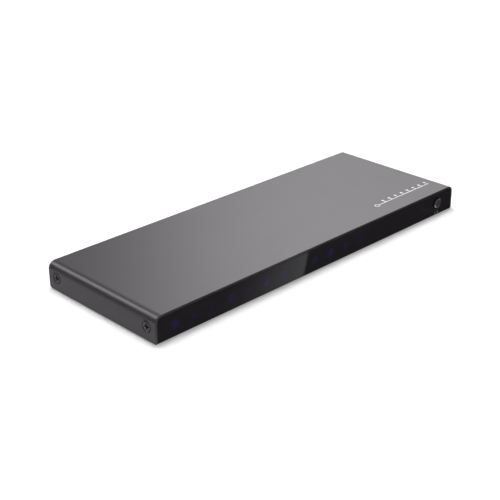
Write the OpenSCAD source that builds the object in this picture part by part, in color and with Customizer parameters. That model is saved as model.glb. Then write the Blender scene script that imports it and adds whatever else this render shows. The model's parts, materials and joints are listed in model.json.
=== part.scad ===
// Slim one-to-eight video splitter. A folded cover closes over a folded tray, a gloss panel with
// a row of lamps and a push button fills the front, and the sockets stand in the rear wall.
// Millimetres, +Z up, front towards -Y. The origin is on the standing surface, under the middle
// of the body.

/* [Body] */
// Width of the body across its front
body_w = 250; // [225:1:300]
// Depth of the body from its front edge to its rear edge
body_d = 90; // [84:1:120]
// Height of the body without its feet
body_h = 15.6; // [15.2:0.1:20]
// Thickness of the cover's sheet
cover_t = 1.5; // [1.2:0.1:1.8]
// Outer radius of the cover's two bends
bend_r = 4.2; // [3:0.1:4.8]
// Radius of the rear lower corner of each cover flange
flange_corner_r = 2; // [0.5:0.1:3]
// Thickness of the tray's sheet
tray_t = 1.2; // [1:0.1:1.4]
// How far the rear wall lies inside the cover's rear edge
rear_inset = 0.6; // [0.2:0.1:2]

/* [Fits] */
// Gap between the cover and what sits inside it
fit_gap = 0.15; // [0.05:0.05:0.3]
// Gap of a piece that slides or turns in another
slide_gap = 0.1; // [0.05:0.05:0.15]
// Gap of a pressed piece
press_gap = 0.02; // [0.01:0.01:0.05]

/* [Front panel and lamps] */
// Thickness of the front panel
panel_t = 2; // [1.5:0.1:3]
// Thickness of the adhesive tape behind the panel
tape_t = 0.3; // [0.2:0.1:0.8]
// Bare margin between the tape and the edges of the panel
tape_margin = 1.5; // [0.5:0.1:2.5]
// Number of lamps in the row
lamp_count = 12; // [4:1:14]
// Distance from one lamp to the next
lamp_pitch = 13.25; // [8:0.25:15]
// Distance from the left end of the body to the first lamp
lamp_first = 13.2; // [10:0.1:20]
// Height of the lamps' middle above the board
lamp_rise = 1.2; // [0.6:0.1:1.6]
// Width of a lamp's light pipe
pipe_w = 4.2; // [2:0.1:5]
// Height of a lamp's light pipe
pipe_h = 4.2; // [2:0.1:4.4]
// Wall of the light bar around each pipe
bar_wall = 1.2; // [0.8:0.1:2]
// Room between the front wall and the board, which the light bar takes up
lamp_room = 5.4; // [4.5:0.1:8]
// Gap between the light bar and the board
lamp_gap = 0.2; // [0.1:0.05:0.5]
// Width of an indicator's light source
led_w = 1.6; // [1:0.1:3]
// Depth of an indicator's light source
led_d = 1; // [0.6:0.1:2]
// Height of an indicator's light source
led_h = 1.1; // [0.6:0.1:1.6]

/* [Button and switch] */
// Diameter of the button
button_d = 6.2; // [5:0.1:7]
// Distance from the right end of the body to the button's axis
button_inset = 15.7; // [12:0.1:30]
// How far the button stands out of the panel
button_proud = 1; // [0.9:0.1:2]
// Travel of the button
button_travel = 0.8; // [0.3:0.1:0.8]
// Gap around the button in its holes
button_gap = 0.3; // [0.15:0.05:0.4]
// Width of the bevel around the hole in the panel
bevel_w = 1; // [0.4:0.1:1.2]
// Depth of the dish in the button's face
dish_depth = 0.4; // [0.1:0.05:0.6]
// Width of the flat rim around the dish
dish_rim = 0.3; // [0.1:0.1:0.5]
// Chamfer around the button's face
button_chamfer = 0.4; // [0.1:0.1:0.6]
// How far the button's collar stands out all round
collar_rim = 1.2; // [0.8:0.1:1.6]
// Thickness of the button's collar
collar_t = 1; // [0.6:0.1:1.4]
// Gap between the collar and the front wall at rest
collar_gap = 0.1; // [0.05:0.05:0.3]
// Wall of the button's stem around the plunger
stem_wall = 0.8; // [0.5:0.1:1.2]
// Gap between the stem and the switch with the button pressed
stem_clear = 0.8; // [0.4:0.1:1.2]
// Diameter of the switch's plunger
plunger_d = 2.6; // [2:0.1:2.8]
// Length of the plunger inside the stem
plunger_in_stem = 1; // [0.6:0.1:1.4]
// Length of the plunger inside the switch at rest
plunger_in_switch = 1.4; // [1:0.1:1.8]
// Depth left in the switch behind the pressed plunger
switch_clear = 0.8; // [0.4:0.1:1.2]
// Width of the switch
switch_w = 6; // [5:0.1:7]
// Length of the switch
switch_l = 5.5; // [5:0.1:7]
// Height of the switch on the board
switch_h = 3.8; // [3.6:0.1:5]
// Distance from the board's front edge to the switch
switch_set = 0.6; // [0.2:0.1:1.5]

/* [Sockets] */
// Number of output sockets
port_count = 8; // [2:1:8]
// Distance from the left end of the body to the last output socket
port_inset = 22.5; // [18:0.5:30]
// How far the sockets stand out of the rear wall
port_proud = 1; // [0.2:0.1:1.5]
// Gap around each socket in the rear wall
port_gap = 0.25; // [0.1:0.05:0.4]
// Width of a socket's mouth
mouth_w = 14; // [13.8:0.1:14.2]
// Height of a socket's mouth
mouth_h = 4.55; // [4.4:0.05:4.8]
// Size of the cut lower corners of a socket's mouth
mouth_cut = 1.85; // [1.2:0.05:2.2]
// Thickness of a socket's shell
shell_t = 0.35; // [0.25:0.05:0.5]
// Depth of a socket
socket_d = 11.5; // [10:0.1:13]
// Width of a socket's tongue
tongue_w = 11.6; // [10.6:0.1:12]
// Thickness of a socket's tongue
tongue_t = 1.2; // [0.8:0.1:1.6]
// Height of the tongue's middle above the floor of the mouth
tongue_rise = 2.4; // [2.1:0.1:2.7]
// How far the tongue lies inside the mouth
tongue_set = 3.2; // [1:0.1:4]
// Length of the insulator's block at the back of a socket
block_d = 4; // [3:0.1:5]
// Gap between the insulator's block and the shell
insulator_gap = 0.05; // [0.02:0.01:0.1]
// Number of contacts on the upper face of a tongue
upper_contacts = 10; // [4:1:10]
// Number of contacts on the lower face of a tongue
lower_contacts = 9; // [3:1:10]
// Distance from one contact to the next
contact_pitch = 1; // [0.8:0.05:1.1]
// Width of a contact
contact_w = 0.4; // [0.2:0.05:0.6]
// Thickness of a contact
contact_t = 0.1; // [0.05:0.05:0.2]
// Distance from the tip of the tongue to its contacts
contact_set = 0.4; // [0.2:0.1:1]

/* [Power jack] */
// Distance from the right end of the body to the power jack
jack_inset = 22.5; // [18:0.5:30]
// Distance from the power jack to the input socket
jack_step = 21; // [16:0.5:24]
// Diameter of the bore
jack_bore = 6.2; // [5.8:0.1:6.6]
// Depth of the bore
jack_bore_l = 10; // [8:0.1:10.5]
// Diameter of the pin
jack_pin_d = 2; // [1.6:0.1:2.5]
// How far the pin lies inside the mouth
jack_pin_set = 3.2; // [1:0.1:4]
// Diameter of the nose
jack_nose_d = 8; // [7.6:0.1:8.8]
// Width and height of the jack's body
jack_w = 9; // [8.9:0.1:10]
// Length of the jack's body behind the rear wall
jack_d = 11; // [10.5:0.1:13]
// Height of the jack's axis above the board
jack_rise = 1.9; // [1.6:0.1:2.2]
// Width of the ledge on each side that rests on the board
ledge_w = 1.5; // [1:0.1:2.5]
// Thickness of the ledges
ledge_t = 1; // [0.6:0.1:2]
// Width of the spring leaf under the bore
leaf_w = 1.8; // [1:0.1:2.4]
// Thickness of the spring leaf
leaf_t = 0.4; // [0.2:0.1:0.6]
// Length of the spring leaf
leaf_l = 7; // [4:0.1:7.4]
// Distance from the rear wall to the spring leaf
leaf_set = 0.8; // [0.5:0.1:1.5]
// Depth of the leaf's slot below the bore
leaf_drop = 0.8; // [0.7:0.1:1]

/* [Board] */
// Thickness of the circuit board
board_t = 1.6; // [1.2:0.1:1.8]
// Gap between the board's sides and the tray's flanges
board_side_gap = 3; // [2.5:0.1:6]
// Gap between the board's rear edge and the rear wall
board_rear_gap = 0.4; // [0.2:0.1:1]
// Height of the standoffs under the board
standoff_h = 3; // [2.6:0.1:3.4]
// Diameter of the standoffs
standoff_d = 5; // [4.5:0.1:6]
// Bore of the standoffs
standoff_bore = 2.6; // [2.6:0.1:3]
// Distance from the board's sides to its outer screws
hole_inset_x = 22; // [18:0.5:26]
// Distance from the board's front edge to its front screws
hole_inset_front = 7; // [5:0.5:9]
// Distance from the board's rear edge to its rear screws
hole_inset_rear = 17; // [16:0.5:18]
// Diameter of the screw holes in the board
board_hole_d = 2.8; // [2.7:0.1:3.2]
// Thread diameter of the board screws
board_screw_d = 2.4; // [2:0.1:2.5]
// Length of the board screws below the board
board_screw_l = 2.4; // [1.6:0.1:2.5]
// Head diameter of the board screws
board_head_d = 4.5; // [4:0.1:5]
// Head height of the board screws
board_head_h = 1.5; // [1.2:0.1:2]

/* [Parts on the board] */
// Distance of the two splitter chips from the middle
splitter_x = 48; // [30:1:60]
// Distance of the splitter chips behind the middle
splitter_y = 4; // [0:0.5:8]
// Side of a splitter chip
splitter_w = 14; // [10:0.5:16]
// Height of a splitter chip
splitter_h = 1; // [0.8:0.1:1.4]
// Thickness of a thermal pad
pad_t = 0.5; // [0.2:0.1:0.8]
// Side of a heat sink
sink_w = 18; // [16:0.5:20]
// Height of a heat sink
sink_h = 5.4; // [4:0.1:5.6]
// Thickness of a heat sink's base
sink_base = 1.5; // [1:0.1:2.5]
// Number of fins on a heat sink
fin_count = 6; // [3:1:8]
// Thickness of a fin
fin_t = 1; // [0.6:0.1:1.4]
// Side of the input chip
input_chip_w = 8; // [5:0.5:10]
// Height of the input chip
input_chip_h = 0.9; // [0.6:0.1:1.4]
// Distance from the rear board screws to the middle of the input chip
input_chip_step = 8; // [6:0.5:10]
// Side of the controller chip
controller_w = 7; // [4:0.5:9]
// Height of the controller chip
controller_h = 1.2; // [0.8:0.1:1.6]
// Distance of the controller chip in front of the middle
controller_y = 14; // [10:0.5:18]
// Length of the crystal
crystal_l = 3.2; // [2:0.1:5]
// Width of the crystal
crystal_w = 2.5; // [1.6:0.1:3.2]
// Height of the crystal
crystal_h = 0.8; // [0.5:0.1:1.5]
// Distance from the controller chip to the crystal
crystal_step = 9; // [8:0.5:14]
// Side of a power inductor
inductor_w = 7; // [5:0.5:8]
// Height of a power inductor
inductor_h = 3; // [2:0.1:4]
// Distance from the power jack's axis to the first inductor
inductor_x = 8.5; // [6:0.5:10]
// Distance from one inductor to the next
inductor_step = 13.5; // [10:0.5:15]
// Distance from the rear board screws to the middle of the inductors
inductor_y = 17.8; // [16.5:0.1:20]
// Diameter of a filter capacitor
capacitor_d = 6.3; // [4:0.1:8]
// Height of a filter capacitor
capacitor_h = 5.4; // [4:0.1:6]
// Distance from one capacitor to the next
capacitor_step = 10; // [8.5:0.5:12]
// Distance of the capacitors in front of the middle
capacitor_y = 8; // [6:0.5:12]
// Length of a surge array
surge_l = 2.5; // [1.6:0.1:4]
// Width of a surge array
surge_w = 1; // [0.6:0.1:1.6]
// Height of a surge array
surge_h = 0.5; // [0.4:0.1:0.8]
// Distance from a socket to its surge array
surge_step = 3; // [2:0.1:3.4]

/* [Side screws and feet] */
// Thread diameter of the side screws
side_screw_d = 2.9; // [2.4:0.1:3]
// Head diameter of the side screws
side_head_d = 5.8; // [5.4:0.1:6.2]
// Diameter of the countersinks in the cover's flanges
sink_d = 7; // [6.8:0.1:7.4]
// Length of the side screws
side_screw_l = 5; // [4.6:0.1:5.2]
// Distance from the front wall to the front side screws
side_screw_front = 3.5; // [3.3:0.1:8]
// Distance from the rear wall to the rear side screws
side_screw_rear = 5.2; // [3.3:0.1:8]
// Length of the cross recess in a screw's head
cross_l = 3; // [2:0.1:3.2]
// Width of the cross recess
cross_w = 0.75; // [0.5:0.05:1]
// Depth of the cross recess
cross_depth = 1; // [0.6:0.1:1.1]
// Diameter of the clinch nuts
nut_d = 6; // [5.5:0.1:6.4]
// Length of the clinch nuts inside the tray's flange
nut_l = 2; // [1.4:0.1:2.3]
// Diameter of the clinch nuts' neck in the flange
nut_neck_d = 4.2; // [4.2:0.1:4.8]
// Length of the neck
nut_neck_l = 0.6; // [0.4:0.1:0.6]
// Diameter of the rubber feet
foot_d = 10; // [6:0.5:14]
// How far the rubber feet stand below the tray
foot_h = 0.5; // [0.4:0.1:2]
// Distance from the body's ends to the middle of the feet
foot_inset_x = 16; // [10:0.5:30]
// Distance from the body's front and rear edges to the middle of the feet
foot_inset_y = 13; // [12:0.5:25]

/* [Hidden] */
$fn = 64;
// Reach of a cutter past the face that it opens
slack = 1;
paint_grey = [0.42, 0.41, 0.43];
gloss_black = [0.05, 0.05, 0.06];
part_black = [0.08, 0.08, 0.08];
nickel = [0.75, 0.74, 0.7];
gold = [0.83, 0.66, 0.3];
board_green = [0.08, 0.3, 0.16];

// Levels above the standing surface
z_floor = foot_h + tray_t;
z_board = z_floor + standoff_h;
z_top = z_board + board_t;
z_lamp = z_top + lamp_rise;
z_button = z_top + switch_h / 2;
z_jack = z_top + jack_rise;
z_mouth = z_top + shell_t;
z_screw = foot_h + body_h / 2;
flange_h = body_h - bend_r;

// Places from front to rear
y_front = -body_d / 2;
y_panel = y_front + panel_t;
y_wall_out = y_panel + tape_t;
y_wall_in = y_wall_out + tray_t;
y_bar = y_wall_in + lamp_room - lamp_gap;
y_board_front = y_wall_in + lamp_room;
y_rear = body_d / 2;
y_rear_out = y_rear - rear_inset;
y_rear_in = y_rear_out - tray_t;
y_board_rear = y_rear_in - board_rear_gap;
y_mouth = y_rear_out + port_proud;
y_socket = y_mouth - socket_d;
y_tongue = y_mouth - tongue_set;

// Places across the body
inner_inset = cover_t + fit_gap;
tray_half = body_w / 2 - inner_inset;
board_half = tray_half - tray_t - board_side_gap;
x_button = body_w / 2 - button_inset;
x_jack = body_w / 2 - jack_inset;
x_input = x_jack - jack_step;
port_pitch = (x_input + body_w / 2 - port_inset) / port_count;
hole_x = board_half - hole_inset_x;
hole_y = [y_board_front + hole_inset_front, y_board_rear - hole_inset_rear];
board_holes = [for (x = [-hole_x, 0, hole_x], y = hole_y) [x, y]];
side_screw_y = [y_wall_in + side_screw_front, y_rear_in - side_screw_rear];

// Button and switch, from front to rear
y_face = y_front - button_proud;
y_collar = y_wall_in + collar_gap;
y_switch = y_board_front + switch_set;
y_stem = y_switch - button_travel - stem_clear;
hole_d = button_d + 2 * button_gap;
collar_d = button_d + 2 * collar_rim;
stem_d = plunger_d + 2 * stem_wall;
dish_a = button_d / 2 - button_chamfer - dish_rim;
dish_r = (dish_a * dish_a + dish_depth * dish_depth) / (2 * dish_depth);

// Side screws, measured into the body from its side
head_sink = (sink_d - side_head_d) / 2;
head_h = (side_head_d - side_screw_d) / 2;
nut_seat = inner_inset + tray_t;

PORTS = ["in", for (i = [1 : port_count]) str(i)];
SHELLS = [for (p = PORTS) str("hdmi_shell_", p)];
INSULATORS = [for (p = PORTS) str("hdmi_insulator_", p)];

function lamp_x(i) = -body_w / 2 + lamp_first + i * lamp_pitch;
function port_x(i) = x_input - i * port_pitch;

// A flat outline in X and Z, drawn out from y0 to y1
module along_y(y0, y1) {
    translate([0, y1, 0]) rotate([90, 0, 0]) linear_extrude(y1 - y0) children();
}

// A round bar along Y
module rod_y(d, y0, y1) {
    translate([0, y0, 0]) rotate([-90, 0, 0]) cylinder(d = d, h = y1 - y0);
}

// A block that stands on its middle
module block(l, w, h) {
    translate([-l / 2, -w / 2, 0]) cube([l, w, h]);
}

// Outline of the body from the front, drawn in by inset, from drop below its underside
module body_outline(inset, drop = 0) {
    half = body_w / 2 - inset;
    top = body_h - inset;
    r = bend_r - inset;
    translate([-half, -drop]) square([2 * half, top - r + drop]);
    translate([-half + r, -drop]) square([2 * (half - r), top + drop]);
    for (side = [-1, 1]) translate([side * (half - r), top - r]) circle(r);
}

// Outline of a socket's mouth, drawn out by grow
module mouth_outline(grow) {
    half = mouth_w / 2 + grow;
    shift = grow * tan(22.5);
    low = mouth_w / 2 - mouth_cut + shift;
    cut = mouth_cut - shift;
    top = mouth_h + grow;
    polygon([[-low, -grow], [low, -grow], [half, cut], [half, top], [-half, top], [-half, cut]]);
}

// The upright face of a light pipe, grown all round
module pipe_face(grow) {
    square([pipe_w + 2 * grow, pipe_h + 2 * grow], center = true);
}

module at_lamps() {
    for (i = [0 : lamp_count - 1]) translate([lamp_x(i), 0, z_lamp]) children();
}

module at_button() {
    translate([x_button, 0, z_button]) children();
}

module at_jack() {
    translate([x_jack, 0, z_jack]) children();
}

module at_mouth(i) {
    translate([port_x(i), 0, z_mouth]) children();
}

module at_board_holes(z) {
    for (h = board_holes) translate([h[0], h[1], z]) children();
}

module at_splitters(z) {
    for (side = [-1, 1]) translate([side * splitter_x, splitter_y, z]) children();
}

// The side screws' places on the cover, with +Z pointing into the body
module at_side_screws(depth) {
    for (side = [-1, 1], y = side_screw_y)
        translate([side * body_w / 2, y, z_screw]) rotate([0, -side * 90, 0])
            translate([0, 0, depth]) children();
}

// A cross recess cut into the face of a screw's head, downwards from z = 0
module cross_recess() {
    for (turn = [0, 90]) rotate(turn) translate([0, 0, -cross_depth])
        block(cross_l, cross_w, cross_depth + slack);
}

module flange_corner_cut() {
    r = flange_corner_r;
    translate([0, y_rear - r, foot_h + r]) difference() {
        translate([-body_w / 2 - slack, 0, -r - slack]) cube([body_w + 2 * slack, r + slack, r + slack]);
        translate([-body_w / 2 - 2 * slack, 0, 0]) rotate([0, 90, 0]) cylinder(r = r, h = body_w + 4 * slack);
    }
}

module top_cover() {
    color(paint_grey) difference() {
        translate([0, 0, foot_h]) difference() {
            along_y(y_front, y_rear) body_outline(0);
            along_y(y_front - slack, y_rear + slack) body_outline(cover_t, slack);
        }
        flange_corner_cut();
        at_side_screws(-slack)
            cylinder(r1 = sink_d / 2 + slack, r2 = sink_d / 2 - cover_t - slack, h = cover_t + 2 * slack);
    }
}

module base_tray() {
    color(paint_grey) difference() {
        translate([0, 0, foot_h]) {
            translate([-tray_half, y_wall_out, 0]) cube([2 * tray_half, y_rear_out - y_wall_out, tray_t]);
            along_y(y_wall_out, y_wall_in) body_outline(inner_inset);
            along_y(y_rear_in, y_rear_out) body_outline(inner_inset);
            for (side = [0, 1]) mirror([side, 0, 0]) translate([tray_half - tray_t, y_wall_out, 0])
                cube([tray_t, y_rear_out - y_wall_out, flange_h]);
        }
        at_lamps() along_y(y_wall_out - slack, y_wall_in + slack) pipe_face(slide_gap);
        at_button() rod_y(hole_d, y_wall_out - slack, y_wall_in + slack);
        for (i = [0 : port_count]) at_mouth(i)
            along_y(y_rear_in - slack, y_rear_out + slack) mouth_outline(shell_t + port_gap);
        at_jack() rod_y(jack_nose_d + 2 * port_gap, y_rear_in - slack, y_rear_out + slack);
        at_side_screws(0) cylinder(d = nut_neck_d, h = nut_seat + slack);
    }
}

module side_screws() {
    color(part_black) at_side_screws(head_sink) difference() {
        union() {
            cylinder(r1 = side_head_d / 2 - slide_gap, r2 = side_screw_d / 2 - slide_gap, h = head_h);
            cylinder(d = side_screw_d - 2 * slide_gap, h = side_screw_l);
        }
        mirror([0, 0, 1]) cross_recess();
    }
}

module clinch_nuts() {
    color(nickel) at_side_screws(nut_seat) difference() {
        union() {
            cylinder(d = nut_d, h = nut_l);
            translate([0, 0, -nut_neck_l]) cylinder(d = nut_neck_d - 2 * press_gap, h = nut_neck_l + nut_l);
        }
        translate([0, 0, -nut_neck_l - slack]) cylinder(d = side_screw_d, h = nut_neck_l + nut_l + 2 * slack);
    }
}

module rubber_feet() {
    color(part_black) for (x = [-1, 1], y = [-1, 1])
        translate([x * (body_w / 2 - foot_inset_x), y * (body_d / 2 - foot_inset_y), 0])
            cylinder(d = foot_d, h = foot_h);
}

module front_panel() {
    color(gloss_black) difference() {
        translate([0, 0, foot_h]) along_y(y_front, y_panel) body_outline(inner_inset);
        at_button() {
            rod_y(hole_d, y_front - slack, y_panel + slack);
            translate([0, y_front - slack, 0]) rotate([-90, 0, 0])
                cylinder(r1 = hole_d / 2 + bevel_w + slack, r2 = hole_d / 2, h = bevel_w + slack);
        }
    }
}

module panel_tape() {
    half = tray_half - (bend_r - cover_t) - tape_margin;
    color("dimgray") difference() {
        translate([-half, y_panel, foot_h + tape_margin])
            cube([2 * half, tape_t, body_h - inner_inset - 2 * tape_margin]);
        at_lamps() along_y(y_panel - slack, y_wall_out + slack) pipe_face(bar_wall);
        at_button() rod_y(collar_d, y_panel - slack, y_wall_out + slack);
    }
}

module light_bar() {
    l = (lamp_count - 1) * lamp_pitch + pipe_w + 2 * bar_wall;
    h = pipe_h + 2 * bar_wall;
    color("whitesmoke") difference() {
        translate([lamp_x(0) - pipe_w / 2 - bar_wall, y_wall_in, z_lamp - h / 2])
            cube([l, y_bar - y_wall_in, h]);
        at_lamps() along_y(y_wall_in - slack, y_bar + slack) pipe_face(press_gap);
    }
}

module light_pipes() {
    color("lightcyan") at_lamps() along_y(y_panel, y_bar) pipe_face(0);
}

module indicator_leds() {
    color("lightyellow") for (i = [0 : lamp_count - 1])
        translate([lamp_x(i), y_board_front + led_d / 2, z_top]) block(led_w, led_d, led_h);
}

module push_button() {
    color("slategray") at_button() difference() {
        union() {
            translate([0, y_face, 0]) rotate([-90, 0, 0])
                cylinder(r1 = button_d / 2 - button_chamfer, r2 = button_d / 2, h = button_chamfer);
            rod_y(button_d, y_face + button_chamfer, y_collar + collar_t);
            rod_y(collar_d, y_collar, y_collar + collar_t);
            rod_y(stem_d, y_collar, y_stem);
        }
        translate([0, y_face + dish_depth - dish_r, 0]) sphere(dish_r);
        rod_y(plunger_d + 2 * press_gap, y_stem - plunger_in_stem, y_stem + slack);
    }
}

module switch_plunger() {
    color("ivory") at_button() rod_y(plunger_d, y_stem - plunger_in_stem, y_switch + plunger_in_switch);
}

module switch_body() {
    y_end = y_switch + plunger_in_switch + button_travel + switch_clear;
    color(part_black) difference() {
        translate([x_button, y_switch + switch_l / 2, z_top]) block(switch_w, switch_l, switch_h);
        at_button() rod_y(plunger_d + 2 * slide_gap, y_switch - slack, y_end);
    }
}

module main_board() {
    notch_half = jack_w / 2 + port_gap;
    color(board_green) difference() {
        translate([-board_half, y_board_front, z_board])
            cube([2 * board_half, y_board_rear - y_board_front, board_t]);
        at_board_holes(z_board - slack) cylinder(d = board_hole_d, h = board_t + 2 * slack);
        translate([x_jack - notch_half, y_rear_in - jack_d - port_gap, z_board - slack])
            cube([2 * notch_half, jack_d + port_gap, board_t + 2 * slack]);
    }
}

module board_standoffs() {
    color(nickel) at_board_holes(z_floor) difference() {
        cylinder(d = standoff_d, h = standoff_h);
        translate([0, 0, -slack]) cylinder(d = standoff_bore, h = standoff_h + 2 * slack);
    }
}

module board_screws() {
    color(nickel) at_board_holes(z_top) difference() {
        union() {
            cylinder(d = board_head_d, h = board_head_h);
            translate([0, 0, -board_t - board_screw_l])
                cylinder(d = board_screw_d, h = board_t + board_screw_l);
        }
        translate([0, 0, board_head_h]) cross_recess();
    }
}

module hdmi_shell(i) {
    color(nickel) at_mouth(i) difference() {
        along_y(y_socket, y_mouth) mouth_outline(shell_t);
        along_y(y_socket - slack, y_mouth + slack) mouth_outline(0);
    }
}

module hdmi_insulator(i) {
    color(part_black) at_mouth(i) {
        along_y(y_socket, y_socket + block_d) mouth_outline(-insulator_gap);
        translate([-tongue_w / 2, y_socket, tongue_rise - tongue_t / 2])
            cube([tongue_w, y_tongue - y_socket, tongue_t]);
    }
}

// A row of contact strips across a tongue, from z upwards
module contact_row(count, z) {
    y0 = y_socket + block_d;
    l = y_tongue - contact_set - y0;
    for (k = [0 : count - 1]) translate([(k - (count - 1) / 2) * contact_pitch, y0 + l / 2, z])
        block(contact_w, l, contact_t);
}

module hdmi_contacts() {
    color(gold) for (i = [0 : port_count]) at_mouth(i) {
        contact_row(upper_contacts, tongue_rise + tongue_t / 2);
        contact_row(lower_contacts, tongue_rise - tongue_t / 2 - contact_t);
    }
}

// The spring leaf's slot in the jack, or the leaf itself with no gap
module leaf_block(gap, h) {
    translate([-leaf_w / 2 - gap, y_rear_in - leaf_set - leaf_l - gap, -jack_bore / 2 - leaf_drop])
        cube([leaf_w + 2 * gap, leaf_l + 2 * gap, h]);
}

module jack_body() {
    ledge_l = jack_d - board_rear_gap;
    color(part_black) difference() {
        union() {
            at_jack() translate([0, y_rear_in - jack_d / 2, -jack_w / 2]) block(jack_w, jack_d, jack_w);
            at_jack() rod_y(jack_nose_d, y_rear_in - jack_d, y_mouth);
            translate([x_jack, y_rear_in - jack_d + ledge_l / 2, z_top])
                block(jack_w + 2 * ledge_w, ledge_l, ledge_t);
        }
        at_jack() rod_y(jack_bore, y_mouth - jack_bore_l, y_mouth + slack);
        at_jack() leaf_block(slide_gap, jack_bore / 2);
    }
}

module jack_pin() {
    color(nickel) at_jack() rod_y(jack_pin_d, y_mouth - jack_bore_l, y_mouth - jack_pin_set);
}

module jack_leaf() {
    color(nickel) at_jack() leaf_block(0, leaf_t);
}

module splitter_chips() {
    color(part_black) at_splitters(z_top) block(splitter_w, splitter_w, splitter_h);
}

module thermal_pads() {
    color("slategray") at_splitters(z_top + splitter_h) block(splitter_w, splitter_w, pad_t);
}

module heat_sinks() {
    fin_step = (sink_w - fin_t) / (fin_count - 1);
    color("gray") at_splitters(z_top + splitter_h + pad_t) {
        block(sink_w, sink_w, sink_base);
        for (k = [0 : fin_count - 1]) translate([(fin_t - sink_w) / 2 + k * fin_step, 0, 0])
            block(fin_t, sink_w, sink_h);
    }
}

module input_chip() {
    color(part_black) translate([x_input, hole_y[1] - input_chip_step, z_top])
        block(input_chip_w, input_chip_w, input_chip_h);
}

module controller_chip() {
    color(part_black) translate([0, -controller_y, z_top]) block(controller_w, controller_w, controller_h);
}

module crystal() {
    color(nickel) translate([crystal_step, -controller_y, z_top]) block(crystal_l, crystal_w, crystal_h);
}

module power_inductors() {
    color("dimgray") for (k = [0, 1])
        translate([x_jack - inductor_x - k * inductor_step, hole_y[1] - inductor_y, z_top])
            block(inductor_w, inductor_w, inductor_h);
}

module filter_capacitors() {
    color("silver") for (k = [0 : 2])
        translate([x_jack - k * capacitor_step, -capacitor_y, z_top])
            cylinder(d = capacitor_d, h = capacitor_h);
}

module surge_arrays() {
    color(part_black) for (i = [0 : port_count])
        translate([port_x(i), y_socket - surge_step, z_top]) block(surge_l, surge_w, surge_h);
}

top_cover();
base_tray();
side_screws();
clinch_nuts();
rubber_feet();
front_panel();
panel_tape();
light_bar();
light_pipes();
indicator_leds();
push_button();
switch_plunger();
switch_body();
main_board();
board_standoffs();
board_screws();
hdmi_contacts();
jack_body();
jack_pin();
jack_leaf();
splitter_chips();
thermal_pads();
heat_sinks();
input_chip();
controller_chip();
crystal();
power_inductors();
filter_capacitors();
surge_arrays();
for (i = [0 : port_count]) {
    hdmi_shell(i);
    hdmi_insulator(i);
}
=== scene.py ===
import json
import math

import bmesh
import bpy
from mathutils import Matrix, Vector

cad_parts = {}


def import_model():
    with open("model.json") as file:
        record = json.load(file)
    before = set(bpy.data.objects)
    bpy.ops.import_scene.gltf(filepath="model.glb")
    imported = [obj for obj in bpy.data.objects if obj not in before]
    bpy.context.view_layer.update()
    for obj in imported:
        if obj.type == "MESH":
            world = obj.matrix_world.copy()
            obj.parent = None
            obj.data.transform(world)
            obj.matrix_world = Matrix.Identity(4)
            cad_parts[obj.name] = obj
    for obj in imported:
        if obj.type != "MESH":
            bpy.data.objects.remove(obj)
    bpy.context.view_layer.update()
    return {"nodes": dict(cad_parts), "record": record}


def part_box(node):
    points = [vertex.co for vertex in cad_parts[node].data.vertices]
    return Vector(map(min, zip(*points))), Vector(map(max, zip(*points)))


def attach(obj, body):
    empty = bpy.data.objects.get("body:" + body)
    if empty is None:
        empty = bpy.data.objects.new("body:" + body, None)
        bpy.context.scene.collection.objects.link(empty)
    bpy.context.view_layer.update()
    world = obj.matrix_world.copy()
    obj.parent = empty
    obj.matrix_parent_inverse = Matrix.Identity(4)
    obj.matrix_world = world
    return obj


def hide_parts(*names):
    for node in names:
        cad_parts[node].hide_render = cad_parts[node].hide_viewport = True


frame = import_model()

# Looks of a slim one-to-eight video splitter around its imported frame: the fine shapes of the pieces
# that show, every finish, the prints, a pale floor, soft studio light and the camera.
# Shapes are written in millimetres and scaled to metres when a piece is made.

MM = 0.001

# Making: how far a cutter runs past what it cuts and how near points are joined, in millimetres, and the
# turn in degrees over which an edge is sharp
CUT_OVER = 1.0
JOIN_GAP = 1e-4
SHARP_TURN = 32

# Cover and front panel: millimetres, and degrees for the wider start of the cover's bends
COVER_T = 1.5
BEND_R = 4.2
BEND_START_R = 10.5
BEND_START = 8
FLANGE_CORNER_R = 2.0
SINK_D = 7.0
PANEL_CORNER_R = 2.55
PANEL_BEVEL = 1.0
EDGE_SOFT = 0.12
PANEL_SOFT = 0.08

# Button: millimetres, and degrees for how far its rim turns
BUTTON_D = 6.2
BUTTON_GAP = 0.3
BUTTON_SOFT = 0.04
RIM_R = 0.9
RIM_TURN = 50
RIM_STEPS = 10
DISH_RIM = 0.1
DISH_DEPTH = 0.4
DISH_STEPS = 16
FACE_T = 0.8
COLLAR_T = 1.0
COLLAR_BACK = 4.6
STEM_D = 4.2
STEM_BORE_D = 2.64
STEM_BORE_L = 1.0

# Cover screws: millimetres, and degrees for the turn of the cross. The solids' heads, which give the places
# of the screws, are a little wider than the heads that show.
SCREW_HEAD_D = 5.6
SCREW_SHOWN_D = 5.4
SCREW_SHANK_D = 2.7
SCREW_SUNK = 0.15
SCREW_RIM = 0.35
SCREW_EDGE_W = 0.2
SCREW_EDGE_H = 0.1
SCREW_TIP = 0.3
SCREW_L = 5.0
SCREW_SOFT = 0.05
CROSS_L = 3.7
CROSS_W = 1.0
CROSS_FLOOR_L = 1.85
CROSS_FLOOR_W = 0.7
CROSS_DEPTH = 1.8
CROSS_OVER = 0.05
CROSS_TURN = 4

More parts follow.
